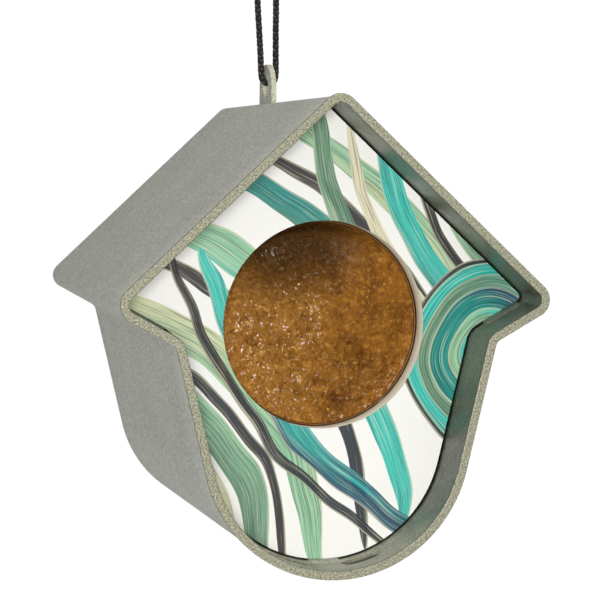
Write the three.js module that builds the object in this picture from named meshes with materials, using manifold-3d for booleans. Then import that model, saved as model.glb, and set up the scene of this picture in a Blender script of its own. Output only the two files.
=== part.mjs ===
// A hanging bird feeder: a house-shaped moulded shell that holds a pot of peanut butter behind a printed
// panel. Millimetres, +Z up. Every piece of the house is laid out in the house's own frame: x to the right,
// y back from the front rim, z up from the lowest point of the rim. The house is then nosed down about its
// hanger eye, to the angle at which it balances, and set below the origin, the point where the cord is hung.

import * as THREE from 'three';
import { mergeVertices } from 'three/addons/utils/BufferGeometryUtils.js';
import Module from 'manifold-3d';

const wasm = await Module();
wasm.setup();

// House outline at the front rim, from the round bottom up: the corners are given before rounding
const BOTTOM_RADIUS = 49.4;
const WALL_LEAN_ANGLE = 13.4;
const SHOULDER_HEIGHT = 83.9;
const EAVE_OVERHANG = 24.4;
const EAVE_RISE = 13.6;
const ROOF_RISE = 77.4;
const APEX_RADIUS = 6.6;
const EAVE_RADIUS = 6.4;
const SHOULDER_RADIUS = 3;
const LEAST_RADIUS = 0.8;

// House shell: a lip runs round the front, and the body behind it leans in towards the back so that it
// leaves its mould, and grows thicker there
const SHELL_DEPTH = 162;
const LIP_HEIGHT = 1;
const LIP_LENGTH = 1.2;
const LIP_SLOPE_LENGTH = 1.8;
const BODY_CORNER_RADIUS = 5;
const BODY_SHOULDER_RADIUS = 3.5;
const OUTER_DRAFT_ANGLE = 1.34;
const INNER_DRAFT_ANGLE = 2;
const WALL = 3.2;
const BACK_WALL = 3.2;

// Panel: a board with a printed sheet on its face, set back behind the rim
const PANEL_SETBACK = 19.5;
const PRINT_THICKNESS = 0.4;
const BOARD_THICKNESS = 7.1;
const PANEL_GAP = 0.7;
const HOLE_DIAMETER = 75;
const HOLE_HEIGHT = 89.5;

// Pot of food, lying on its side behind the hole
const JAR_GAP = 0.6;
const JAR_WALL = 1;
const JAR_BASE_RADIUS = 4;
const JAR_PUSH_UP = 2.5;
const FOOD_HEADSPACE = 0.8;
const FOOD_CROWN = 1.2;

// Ribs inside the shell: two that cradle the pot, and two short ones under the roof that stop the panel
const RIB_THICKNESS = 2.4;
const CRADLE_RIB_SPACING = 48;
const STOP_RIB_SPACING = 90;
const STOP_RIB_HEIGHT = 6;
const STOP_RIB_LENGTH = 30;

// Snap catches in front of the panel, and drain slots in the floor of the recess
const CATCH_DEPTH = 4.6;
const BOTTOM_CATCH_WIDTH = 11;
const EAVE_CATCH_LENGTH = 13;
const EAVE_CATCH_FROM_TIP = 9.9;
const DRAIN_LENGTH = 15;
const DRAIN_WIDTH = 7.4;
const DRAIN_SPACING = 26.5;
const DRAIN_SETBACK = 12;

// Hanger eye: a flat plate that stands up through the ridge on a foot under the roof
const EYE_SETBACK = 98.6;
const EYE_HOLE_RISE = 6.13;
const EYE_HOLE_DIAMETER = 7.4;
const EYE_WIDTH = 17.6;
const EYE_THICKNESS = 1.85;
const FOOT_LENGTH = 30;
const FOOT_HALF_WIDTH = 9;
const FOOT_HEIGHT = 4;

// Cord: a loop through the eye, closed by a knot above the point where it is hung up
const CORD_DIAMETER = 2.1;
const HANG_RISE = 45;
const HANG_TILT_ANGLE = 5;
const KNOT_RADIUS = 4.2;
const KNOT_HEIGHT = 8;
const TAIL_LENGTH = 8;
const TAIL_SPREAD = 1.3;

// The loop's centre line, x and z from the hang point, from the knot through the eye and back to the knot
const CORD_ROUTE = [
  [-1.3, 0.7],
  [-1.5, -1],
  [-2.4, -3.6],
  [-3.2, -7],
  [-3.5, -11],
  [-3.1, -23],
  [-2.7, -34],
  [-2.5, -40.5],
  [-2.1, -41.9],
  [-1.1, -42.9],
  [0.3, -43.3],
  [1.7, -42.9],
  [2.7, -41.9],
  [3.1, -40.5],
  [3.3, -34],
  [3.5, -23],
  [3.8, -11],
  [3.5, -7],
  [2.5, -3.6],
  [1.5, -1],
  [1.3, 0.7],
];

// Clearances and mesh fineness
const SEAT_GAP = 0.3;
const CORNER_STEPS = 6;
const BOTTOM_STEPS = 44;
const ROUND_STEPS = 60;
const BASE_STEPS = 3;
const CORD_SIDES = 8;
const CORD_STEPS = 72;
const OVERCUT = 2;

// Sizes that follow from the ones above
const OUTER_DRAFT = Math.tan(THREE.MathUtils.degToRad(OUTER_DRAFT_ANGLE));
const INNER_DRAFT = Math.tan(THREE.MathUtils.degToRad(INNER_DRAFT_ANGLE));
const WALL_LEAN = THREE.MathUtils.degToRad(WALL_LEAN_ANGLE);
const WALL_RUN = (SHOULDER_HEIGHT - BOTTOM_RADIUS) * Math.tan(WALL_LEAN);
const SHOULDER_HALF_WIDTH = BOTTOM_RADIUS / Math.cos(WALL_LEAN) + WALL_RUN;
const EAVE_HALF_WIDTH = SHOULDER_HALF_WIDTH + EAVE_OVERHANG;
const EAVE_HEIGHT = SHOULDER_HEIGHT + EAVE_RISE;
const APEX_HEIGHT = EAVE_HEIGHT + ROOF_RISE;
const ROOF_SLOPE = ROOF_RISE / EAVE_HALF_WIDTH;
const ROOF_STRETCH = Math.hypot(1, ROOF_SLOPE);
const BOARD_FACE = PANEL_SETBACK + PRINT_THICKNESS + SEAT_GAP;
const BOARD_BACK = BOARD_FACE + BOARD_THICKNESS;
const RIB_FRONT = BOARD_BACK + SEAT_GAP;
const CATCH_HEIGHT = PANEL_GAP + INNER_DRAFT * (BOARD_BACK - PANEL_SETBACK) - SEAT_GAP;
const JAR_MOUTH = RIB_FRONT;
const JAR_END = SHELL_DEPTH - BACK_WALL - SEAT_GAP;
const JAR_RADIUS = HOLE_DIAMETER / 2 - JAR_GAP;
const BODY_INSET_AT_EYE = LIP_HEIGHT + OUTER_DRAFT * EYE_SETBACK;
const RIDGE_DROP_AT_EYE = BODY_INSET_AT_EYE * ROOF_STRETCH + BODY_CORNER_RADIUS * (ROOF_STRETCH - 1);
const RIDGE_AT_EYE = APEX_HEIGHT - RIDGE_DROP_AT_EYE;
const EYE_HOLE_HEIGHT = RIDGE_AT_EYE + EYE_HOLE_RISE;

// Closed geometry to a solid that can be joined and cut
function solid(geometry) {
  const bare = geometry.clone();
  bare.deleteAttribute('normal');
  bare.deleteAttribute('uv');
  const merged = mergeVertices(bare, 1e-4);
  return new wasm.Manifold(new wasm.Mesh({
    numProp: 3,
    vertProperties: Float32Array.from(merged.attributes.position.array),
    triVerts: Uint32Array.from(merged.index.array),
  }));
}

// A solid back to geometry
function geometryOf(body) {
  const mesh = body.getMesh();
  const geometry = new THREE.BufferGeometry();
  geometry.setAttribute('position', new THREE.BufferAttribute(mesh.vertProperties, 3));
  geometry.setIndex(new THREE.BufferAttribute(mesh.triVerts, 1));
  geometry.computeVertexNormals();
  return geometry;
}

// Points of the arc that rounds one corner of an outline
function roundedCorner(before, corner, after, radius, steps) {
  const toBefore = before.clone().sub(corner).normalize();
  const toAfter = after.clone().sub(corner).normalize();
  const halfAngle = Math.acos(THREE.MathUtils.clamp(toBefore.dot(toAfter), -1, 1)) / 2;
  const bisector = toBefore.clone().add(toAfter).normalize();
  const centre = corner.clone().addScaledVector(bisector, radius / Math.sin(halfAngle));
  const tangent = radius / Math.tan(halfAngle);
  const from = corner.clone().addScaledVector(toBefore, tangent).sub(centre).angle();
  const to = corner.clone().addScaledVector(toAfter, tangent).sub(centre).angle();
  const turn = THREE.MathUtils.euclideanModulo(to - from + Math.PI, 2 * Math.PI) - Math.PI;
  const points = [];
  for (let step = 0; step <= steps; step += 1) {
    const angle = from + turn * step / steps;
    points.push(new THREE.Vector2(Math.cos(angle), Math.sin(angle)).multiplyScalar(radius).add(centre));
  }
  return points;
}

// Corners of the house outline, counter-clockwise from the apex. The walls run on to the keel, the point
// below the house where they would meet: rounding the keel makes the round bottom. The other corners have
// one radius at the rim and another on the body behind its lip.
function houseCorners() {
  const keel = BOTTOM_RADIUS - BOTTOM_RADIUS / Math.sin(WALL_LEAN);
  const convex = { hollow: false, steps: CORNER_STEPS, bodyRadius: BODY_CORNER_RADIUS };
  const hollow = { hollow: true, steps: CORNER_STEPS, bodyRadius: BODY_SHOULDER_RADIUS };
  const bottom = { hollow: false, steps: BOTTOM_STEPS, bodyRadius: null };
  const corner = (x, z, radius, kind) => ({ at: new THREE.Vector2(x, z), radius, ...kind });
  return [
    corner(0, APEX_HEIGHT, APEX_RADIUS, convex),
    corner(-EAVE_HALF_WIDTH, EAVE_HEIGHT, EAVE_RADIUS, convex),
    corner(-SHOULDER_HALF_WIDTH, SHOULDER_HEIGHT, SHOULDER_RADIUS, hollow),
    corner(0, keel, BOTTOM_RADIUS, bottom),
    corner(SHOULDER_HALF_WIDTH, SHOULDER_HEIGHT, SHOULDER_RADIUS, hollow),
    corner(EAVE_HALF_WIDTH, EAVE_HEIGHT, EAVE_RADIUS, convex),
  ];
}

// The house outline moved inwards by an inset, with as many points for every inset. Its radii follow the
// inset as on an even wall, or on the body keep to the body's own.
function houseOutline(inset, onBody = false) {
  const corners = houseCorners();
  const count = corners.length;
  const inward = corners.map(({ at }, index) => {
    const along = corners[(index + 1) % count].at.clone().sub(at).normalize();
    return new THREE.Vector2(-along.y, along.x);
  });
  const moved = corners.map(({ at }, index) => {
    const before = inward[(index + count - 1) % count];
    const after = inward[index];
    return at.clone().addScaledVector(before.clone().add(after), inset / (1 + before.dot(after)));
  });
  return corners.flatMap(({ radius, bodyRadius, hollow, steps }, index) => {
    const followed = hollow ? radius + inset : Math.max(radius - inset, LEAST_RADIUS);
    const eased = onBody && bodyRadius ? bodyRadius : followed;
    const before = moved[(index + count - 1) % count];
    const after = moved[(index + 1) % count];
    return roundedCorner(before, moved[index], after, eased, steps);
  });
}

// A prism from one outline at the front to another, with as many points, at the back
function prism(frontOutline, backOutline, front, back, holes = []) {
  const shape = new THREE.Shape(frontOutline);
  shape.holes.push(...holes);
  const depth = back - front;
  const curveSegments = ROUND_STEPS / 2;
  const geometry = new THREE.ExtrudeGeometry(shape, { depth, bevelEnabled: false, curveSegments });
  const place = geometry.attributes.position;
  if (backOutline !== frontOutline) {
    const point = new THREE.Vector2();
    for (let index = 0; index < place.count; index += 1) {
      if (place.getZ(index) > depth / 2) {
        point.fromBufferAttribute(place, index);
        const distances = frontOutline.map((other) => other.distanceToSquared(point));
        const match = backOutline[distances.indexOf(Math.min(...distances))];
        place.setXY(index, match.x, match.y);
      }
    }
  }
  // The outline's second axis becomes z and the prism runs back along y, which turns its faces inside out
  for (let index = 0; index < place.count; index += 1) {
    place.setXYZ(index, place.getX(index), front + place.getZ(index), place.getY(index));
  }
  for (let index = 0; index < place.count; index += 3) {
    const kept = new THREE.Vector3().fromBufferAttribute(place, index);
    const other = new THREE.Vector3().fromBufferAttribute(place, index + 1);
    place.setXYZ(index, other.x, other.y, other.z);
    place.setXYZ(index + 1, kept.x, kept.y, kept.z);
  }
  return geometry;
}

// A box between two corners
function block(low, high) {
  const size = high.map((value, axis) => value - low[axis]);
  const middle = high.map((value, axis) => (value + low[axis]) / 2);
  return new THREE.BoxGeometry(...size).translate(...middle);
}

// A cylinder along y round the pot's axis
function potCylinder(radius, front, back) {
  const cylinder = new THREE.CylinderGeometry(radius, radius, back - front, ROUND_STEPS);
  return cylinder.translate(0, (front + back) / 2, HOLE_HEIGHT);
}

// A body turned round the pot's axis, from a profile of [radius, y] that starts at the axis at the back
function turnedAlongPot(profile) {
  const points = profile.map(([radius, y]) => new THREE.Vector2(radius, y)).reverse();
  return new THREE.LatheGeometry(points, ROUND_STEPS).translate(0, 0, HOLE_HEIGHT);
}

const bodyOutline = (y) => houseOutline(LIP_HEIGHT + OUTER_DRAFT * y, true);
const innerOutline = (y, raise = 0) => houseOutline(WALL + raise + INNER_DRAFT * y);

function outerForm() {
  const rim = houseOutline(0);
  const bodyFront = LIP_LENGTH + LIP_SLOPE_LENGTH;
  const lip = solid(prism(rim, rim, 0, LIP_LENGTH));
  const slope = solid(prism(rim, bodyOutline(bodyFront), LIP_LENGTH, bodyFront));
  const body = solid(prism(bodyOutline(bodyFront), bodyOutline(SHELL_DEPTH), bodyFront, SHELL_DEPTH));
  return lip.add(slope).add(body);
}

// The room inside the shell, or with a raise the room that stays free above its catches
function innerRoom(raise = 0) {
  const back = SHELL_DEPTH - BACK_WALL;
  return solid(prism(innerOutline(-OVERCUT, raise), innerOutline(back, raise), -OVERCUT, back));
}

// Height of the roof's inner face over a point x out from the ridge, at a depth y
function roofInside(x, y) {
  return APEX_HEIGHT - ROOF_SLOPE * Math.abs(x) - (WALL + INNER_DRAFT * y) * ROOF_STRETCH;
}

function shellRibs() {
  const half = RIB_THICKNESS / 2;
  const ribs = [];
  for (const side of [-1, 1]) {
    const cradle = side * CRADLE_RIB_SPACING / 2;
    const cradleRib = block([cradle - half, RIB_FRONT, -OVERCUT], [cradle + half, SHELL_DEPTH, HOLE_HEIGHT]);
    const potRoom = potCylinder(JAR_RADIUS + SEAT_GAP, 0, SHELL_DEPTH);
    ribs.push(solid(cradleRib).subtract(solid(potRoom)));
    const stop = side * STOP_RIB_SPACING / 2;
    const stopFoot = roofInside(stop, RIB_FRONT) - STOP_RIB_HEIGHT;
    const stopBack = RIB_FRONT + STOP_RIB_LENGTH;
    ribs.push(solid(block([stop - half, RIB_FRONT, stopFoot], [stop + half, stopBack, APEX_HEIGHT])));
  }
  return ribs;
}

function panelCatches() {
  const back = PANEL_SETBACK - SEAT_GAP;
  const front = back - CATCH_DEPTH;
  const outside = EAVE_HALF_WIDTH - EAVE_CATCH_FROM_TIP;
  const blocks = [
    block([-BOTTOM_CATCH_WIDTH / 2, front, -OVERCUT], [BOTTOM_CATCH_WIDTH / 2, back, BOTTOM_RADIUS / 2]),
    block([outside - EAVE_CATCH_LENGTH, front, SHOULDER_HEIGHT], [outside, back, EAVE_HEIGHT]),
    block([-outside, front, SHOULDER_HEIGHT], [EAVE_CATCH_LENGTH - outside, back, EAVE_HEIGHT]),
  ];
  const free = innerRoom(CATCH_HEIGHT);
  return blocks.map((geometry) => solid(geometry).subtract(free));
}

// Slots with round ends, each square to the round floor
function drainSlots() {
  const straight = (DRAIN_LENGTH - DRAIN_WIDTH) / 2;
  const shape = new THREE.Shape();
  shape.absarc(straight, 0, DRAIN_WIDTH / 2, -Math.PI / 2, Math.PI / 2);
  shape.absarc(-straight, 0, DRAIN_WIDTH / 2, Math.PI / 2, 3 * Math.PI / 2);
  const depth = WALL + 2 * OVERCUT;
  const turn = Math.asin(DRAIN_SPACING / 2 / BOTTOM_RADIUS);
  return [-1, 1].map((side) => {
    const curveSegments = CORNER_STEPS;
    const slot = new THREE.ExtrudeGeometry(shape, { depth, bevelEnabled: false, curveSegments });
    slot.translate(0, DRAIN_SETBACK, -OVERCUT - BOTTOM_RADIUS).rotateY(-side * turn);
    return solid(slot.translate(0, 0, BOTTOM_RADIUS));
  });
}

function eyeSlot() {
  const halfThickness = EYE_THICKNESS / 2 + SEAT_GAP;
  const halfWidth = EYE_WIDTH / 2 + SEAT_GAP;
  const back = EYE_SETBACK + halfWidth;
  const low = roofInside(0, back) - APEX_RADIUS;
  return solid(block([-halfThickness, EYE_SETBACK - halfWidth, low], [halfThickness, back, APEX_HEIGHT]));
}

function houseShell() {
  const outer = outerForm();
  let shell = outer.subtract(innerRoom());
  for (const piece of [...shellRibs(), ...panelCatches()]) {
    shell = shell.add(piece.intersect(outer));
  }
  for (const slot of drainSlots()) {
    shell = shell.subtract(slot);
  }
  return geometryOf(shell.subtract(eyeSlot()));
}

// The foot's section at a depth y: a wedge that lies against both slopes of the roof, blunt at the ridge
function footSection(y) {
  const ridge = roofInside(0, y) - SEAT_GAP * ROOF_STRETCH;
  const blunt = APEX_RADIUS / 4;
  const edge = ridge - ROOF_SLOPE * FOOT_HALF_WIDTH;
  const top = ridge - ROOF_SLOPE * blunt;
  return [
    new THREE.Vector2(blunt, top),
    new THREE.Vector2(-blunt, top),
    new THREE.Vector2(-FOOT_HALF_WIDTH, edge),
    new THREE.Vector2(-FOOT_HALF_WIDTH, edge - FOOT_HEIGHT),
    new THREE.Vector2(FOOT_HALF_WIDTH, edge - FOOT_HEIGHT),
    new THREE.Vector2(FOOT_HALF_WIDTH, edge),
  ];
}

function hangerEye() {
  const front = EYE_SETBACK - FOOT_LENGTH / 2;
  const back = EYE_SETBACK + FOOT_LENGTH / 2;
  const foot = solid(prism(footSection(front), footSection(back), front, back));
  const half = EYE_WIDTH / 2;
  const shape = new THREE.Shape();
  shape.moveTo(half, footSection(EYE_SETBACK)[3].y);
  shape.lineTo(half, EYE_HOLE_HEIGHT);
  shape.absarc(0, EYE_HOLE_HEIGHT, half, 0, Math.PI);
  shape.lineTo(-half, footSection(EYE_SETBACK)[3].y);
  const hole = new THREE.Path();
  hole.absarc(0, EYE_HOLE_HEIGHT, EYE_HOLE_DIAMETER / 2, 0, 2 * Math.PI);
  shape.holes.push(hole);
  const plate = new THREE.ExtrudeGeometry(shape, {
    depth: EYE_THICKNESS,
    bevelEnabled: false,
    curveSegments: ROUND_STEPS / 4,
  });
  plate.translate(0, 0, -EYE_THICKNESS / 2).rotateX(Math.PI / 2).rotateZ(Math.PI / 2);
  return geometryOf(foot.add(solid(plate.translate(0, EYE_SETBACK, 0))));
}

// Panel pieces share one outline: the shell's room at the board's back, less the gap all round
function panelPlate(front, back) {
  const outline = innerOutline(BOARD_BACK, PANEL_GAP);
  const hole = new THREE.Path();
  hole.absarc(0, HOLE_HEIGHT, HOLE_DIAMETER / 2, 0, 2 * Math.PI);
  return prism(outline, outline, front, back, [hole]);
}

// Profile of a rounded, slightly hollow base: from the axis out to the wall
function baseProfile(radius, end, corner) {
  const profile = [[0, end - JAR_PUSH_UP], [radius - 3 * corner, end - JAR_PUSH_UP]];
  for (let step = 0; step <= BASE_STEPS; step += 1) {
    const angle = Math.PI / 2 * (1 - step / BASE_STEPS);
    profile.push([radius - corner + corner * Math.cos(angle), end - corner + corner * Math.sin(angle)]);
  }
  return profile;
}

function foodJar() {
  const outside = baseProfile(JAR_RADIUS, JAR_END, JAR_BASE_RADIUS);
  const inside = baseProfile(JAR_RADIUS - JAR_WALL, JAR_END - JAR_WALL, JAR_BASE_RADIUS - JAR_WALL);
  const lip = JAR_WALL / 2;
  const rim = [
    [JAR_RADIUS, JAR_MOUTH + lip],
    [JAR_RADIUS - lip, JAR_MOUTH],
    [JAR_RADIUS - JAR_WALL, JAR_MOUTH + lip],
  ];
  return turnedAlongPot([...outside, ...rim, ...inside.reverse()]);
}

function peanutButter() {
  const radius = JAR_RADIUS - JAR_WALL - SEAT_GAP;
  const end = JAR_END - JAR_WALL - SEAT_GAP;
  const surface = JAR_MOUTH + FOOD_HEADSPACE;
  const base = baseProfile(radius, end, JAR_BASE_RADIUS - JAR_WALL - SEAT_GAP);
  const crown = [
    [radius, surface + FOOD_CROWN],
    [radius / 2, surface + FOOD_CROWN / 4],
    [0, surface],
  ];
  return turnedAlongPot([...base, ...crown]);
}

function cordTube(points) {
  const section = [];
  for (let side = 0; side < CORD_SIDES; side += 1) {
    const angle = 2 * Math.PI * side / CORD_SIDES;
    section.push(new THREE.Vector2(Math.cos(angle), Math.sin(angle)).multiplyScalar(CORD_DIAMETER / 2));
  }
  return new THREE.ExtrudeGeometry(new THREE.Shape(section), {
    steps: CORD_STEPS,
    extrudePath: new THREE.CatmullRomCurve3(points, false, 'centripetal'),
  });
}

function cordLoop() {
  return cordTube(CORD_ROUTE.map(([x, z]) => new THREE.Vector3(x, 0, z)));
}

// The knot's body, drawn tight, with the cord's two ends standing out of its top
function cordKnot() {
  const under = CORD_ROUTE[0][1] + SEAT_GAP;
  const top = under + KNOT_HEIGHT;
  const shoulder = KNOT_RADIUS / 3;
  const profile = [
    [0, under],
    [KNOT_RADIUS - shoulder, under],
    [KNOT_RADIUS, under + shoulder],
    [KNOT_RADIUS, top - shoulder],
    [KNOT_RADIUS - shoulder, top],
    [0, top],
  ];
  const points = profile.map(([radius, z]) => new THREE.Vector2(radius, z));
  let knot = solid(new THREE.LatheGeometry(points, ROUND_STEPS / 3).rotateX(Math.PI / 2));
  const cordRadius = CORD_DIAMETER / 2;
  for (const side of [-1, 1]) {
    const tail = new THREE.CylinderGeometry(cordRadius, cordRadius, TAIL_LENGTH + shoulder, CORD_SIDES);
    tail.rotateX(Math.PI / 2).translate(side * TAIL_SPREAD, 0, top + (TAIL_LENGTH - shoulder) / 2);
    knot = knot.add(solid(tail));
  }
  return geometryOf(knot);
}

function piece(name, geometry, color, roughness, metalness = 0) {
  const mesh = new THREE.Mesh(geometry, new THREE.MeshStandardMaterial({ color, roughness, metalness }));
  mesh.name = name;
  return mesh;
}

const house = new THREE.Group();
house.position.set(0, -EYE_SETBACK, -EYE_HOLE_HEIGHT);
house.add(
  piece('house_shell', houseShell(), 0x969790, 0.75),
  piece('hanger_eye', hangerEye(), 0x9c9d92, 0.7),
  piece('front_panel', panelPlate(BOARD_FACE, BOARD_BACK), 0xcfc8bc, 0.7),
  piece('panel_print', panelPlate(PANEL_SETBACK, PANEL_SETBACK + PRINT_THICKNESS), 0x9ccdbd, 0.45),
  piece('food_jar', foodJar(), 0xd9dde0, 0.1),
  piece('peanut_butter', peanutButter(), 0x9a6526, 0.35),
);

const swing = new THREE.Group();
swing.position.z = -HANG_RISE;
swing.rotation.x = THREE.MathUtils.degToRad(HANG_TILT_ANGLE);
swing.add(house);

const cord = new THREE.Group();
cord.add(
  piece('cord_loop', cordLoop(), 0x1b1a19, 0.85),
  piece('cord_knot', cordKnot(), 0x1b1a19, 0.85),
);

const feeder = new THREE.Group();
feeder.add(swing, cord);

export default feeder;
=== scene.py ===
"""A hanging bird feeder: moulded house, printed panel, pot of peanut butter and braided cord.

House pieces are drawn in the house's own frame, in millimetres: x to the right, y back from the front rim
and z up from the lowest point of the rim. in_place() then noses them down about the hanger eye and sets them
below the hang point.
"""

import math

import bmesh
import bpy
import numpy as np
from mathutils import Matrix, Vector, noise


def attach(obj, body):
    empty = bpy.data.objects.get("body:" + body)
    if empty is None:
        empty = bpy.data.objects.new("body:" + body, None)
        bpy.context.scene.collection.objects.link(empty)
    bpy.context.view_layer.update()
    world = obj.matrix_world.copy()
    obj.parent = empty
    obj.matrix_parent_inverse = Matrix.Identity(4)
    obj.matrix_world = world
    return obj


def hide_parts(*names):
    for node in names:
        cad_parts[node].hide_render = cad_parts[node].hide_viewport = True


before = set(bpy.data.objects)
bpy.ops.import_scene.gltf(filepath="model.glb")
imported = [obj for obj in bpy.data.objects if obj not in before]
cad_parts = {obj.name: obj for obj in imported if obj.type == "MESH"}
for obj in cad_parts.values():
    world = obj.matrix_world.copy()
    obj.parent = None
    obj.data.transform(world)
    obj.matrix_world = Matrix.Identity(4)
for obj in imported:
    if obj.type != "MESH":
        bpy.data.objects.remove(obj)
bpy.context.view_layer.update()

MM = 0.001

# House outline at the rim: corners before rounding, and their radii there and on the body behind the lip
BOTTOM_RADIUS = 49.4
WALL_LEAN = math.radians(13.4)
SHOULDER = Vector((59.0, 83.9))
EAVE = Vector((83.4, 97.5))
APEX_HEIGHT = 174.9
APEX_RADIUS = 6.6
EAVE_RADIUS = 6.4
SHOULDER_RADIUS = 3.0
BODY_CORNER_RADIUS = 5.0
BODY_SHOULDER_RADIUS = 3.5
LEAST_RADIUS = 0.8
ROOF_SLOPE = (APEX_HEIGHT - EAVE.y) / EAVE.x
ROOF_STRETCH = math.hypot(1, ROOF_SLOPE)

# Shell
SHELL_DEPTH = 162.0
LIP_HEIGHT = 1.0
LIP_LENGTH = 1.2
LIP_END = 3.0
OUTER_DRAFT = math.tan(math.radians(1.34))
INNER_DRAFT = math.tan(math.radians(2.0))
WALL = 3.2
BACK_WALL = 3.2
BACK_ROUND = 1.2
RIM_OUTER_ROUND = 0.35
RIM_INNER_ROUND = 0.5

# Panel catches: where they rise and drop along y, and how far off the middle they start and end
CATCH_HEIGHT = 0.95
CATCH_RAMP = (14.2, 15.4)
CATCH_FACE = (19.0, 19.25)
CATCH_FLANK = 0.4
BOTTOM_CATCH_END = 5.5
EAVE_CATCH_ENDS = (60.5, 73.5)

# Drain slots, and the ribs that hold the pot and stop the panel
DRAIN_LENGTH = 15.0
DRAIN_WIDTH = 7.4
DRAIN_SETBACK = 12.0
DRAIN_SPACING = 26.5
RIB_THICKNESS = 2.4
RIB_ROOT = 1.5
CRADLE_RIB_SPACING = 48.0
CRADLE_RIB_FEET = (8.7, 13.8)
STOP_RIB_SPACING = 90.0
STOP_RIB_LENGTH = 30.0
STOP_RIB_HEIGHT = 6.0
SEAT_GAP = 0.3

# Panel, pot and food
PANEL_SETBACK = 19.5
PRINT_BACK = 19.9
BOARD_FACE = 19.95
BOARD_BACK = 27.3
BOARD_EDGE_ROUND = 0.25
PANEL_GAP = 0.45
HOLE_RADIUS = 37.5
HOLE_HEIGHT = 89.5
ROUND_STEPS = 160
JAR_RADIUS = 36.9
JAR_WALL = 1.0
JAR_LIP_THICKNESS = 0.55
JAR_BEAD_RADIUS = 37.25
JAR_MOUTH = 27.6
JAR_LIP_END = JAR_MOUTH + 3
JAR_NECK_END = JAR_MOUTH + 7
JAR_END = 158.5
JAR_PUSH_UP = 2.5
FOOD_GAP = 0.1
FOOD_RADIUS = 36.5
FOOD_SIDE_RADIUS = JAR_RADIUS - JAR_WALL - FOOD_GAP
FOOD_FACE = 28.4
FOOD_SCOOP = 11.0
FOOD_SEED = 4

# The food's scoop and its painted shadow patch: the middle, from the hole's own middle, and the reach across
# and up
SCOOP_MIDDLE = (-13, 27)
SCOOP_REACH = (22, 17)
SHADOW_MIDDLE = (-9, 35)
SHADOW_REACH = (36, 32)

# Hanger eye and cord, whose route is a list of x and z from the hang point
EYE_SETBACK = 98.6
EYE_HEIGHT = 174.698
EYE_HOLE_RADIUS = 3.7
EYE_HALF_WIDTH = 8.8
EYE_HALF_THICKNESS = 0.98
EYE_EDGE_ROUND = 0.06
EYE_SLOT_GAP = 0.12
EYE_SLOT_ENDS = (150, 180)
EYE_FOOT_HALF_WIDTH = 9.0
EYE_FOOT_HALF_LENGTH = 15.0
EYE_FOOT_HALF_FLAT = 1.65
EYE_FOOT_THICKNESS = 4.0
EYE_FOOT_GAP = 0.25
HANG_RISE = 45.0
HANG_TILT = math.radians(5)
BRAID_DIAMETER = 2.6
CORD_ROUTE = (
    (-1.3, 0.7), (-1.5, -1), (-2.4, -3.6), (-3.2, -7), (-3.5, -11), (-3.1, -23), (-2.7, -34), (-2.5, -40.5),
    (-2.1, -41.9), (-1.1, -42.9), (0.3, -43.3), (1.7, -42.9), (2.7, -41.9), (3.1, -40.5), (3.3, -34),
    (3.5, -23), (3.8, -11), (3.5, -7), (2.5, -3.6), (1.5, -1), (1.3, 0.7),
)

# The house's own frame, in metres, to the part's frame
HOUSE = (
    Matrix.Translation((0, 0, -HANG_RISE * MM))
    @ Matrix.Rotation(HANG_TILT, 4, "X")
    @ Matrix.Translation((0, -EYE_SETBACK * MM, -EYE_HEIGHT * MM))
)

# Studio, in metres
FEEDER_MIDDLE = Vector((0, -0.03, -0.13))
FLOOR_RADIUS = 15.0
FLOOR_HEIGHT = -2.6
WARM = (1.0, 0.99, 0.96)
COOL = (0.97, 0.99, 1.0)


# Node trees

def linear(red, green, blue):
    """A colour as a screen shows it, 0 to 255, as the linear colour that a shader takes."""
    def channel(value):
        value /= 255
        return value / 12.92 if value <= 0.04045 else ((value + 0.055) / 1.055) ** 2.4
    return (channel(red), channel(green), channel(blue), 1.0)


class Value:
    """A socket of a node tree. Arithmetic on it adds Math nodes."""

    def __init__(self, nodes, socket):
        self.nodes = nodes
        self.socket = socket

    def maths(self, operation, *others):
        inputs = dict(enumerate((self, *others)))
        return self.nodes.add("ShaderNodeMath", {"operation": operation}, inputs)

    def __add__(self, other):
        return self.maths("ADD", other)

    def __sub__(self, other):
        return self.maths("SUBTRACT", other)

    def __mul__(self, other):
        return self.maths("MULTIPLY", other)

    def __truediv__(self, other):
        return self.maths("DIVIDE", other)

    def __pow__(self, other):
        return self.maths("POWER", other)

    def __rsub__(self, other):
        return self.nodes.add("ShaderNodeMath", {"operation": "SUBTRACT"}, {0: other, 1: self})

    __radd__ = __add__
    __rmul__ = __mul__


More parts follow.
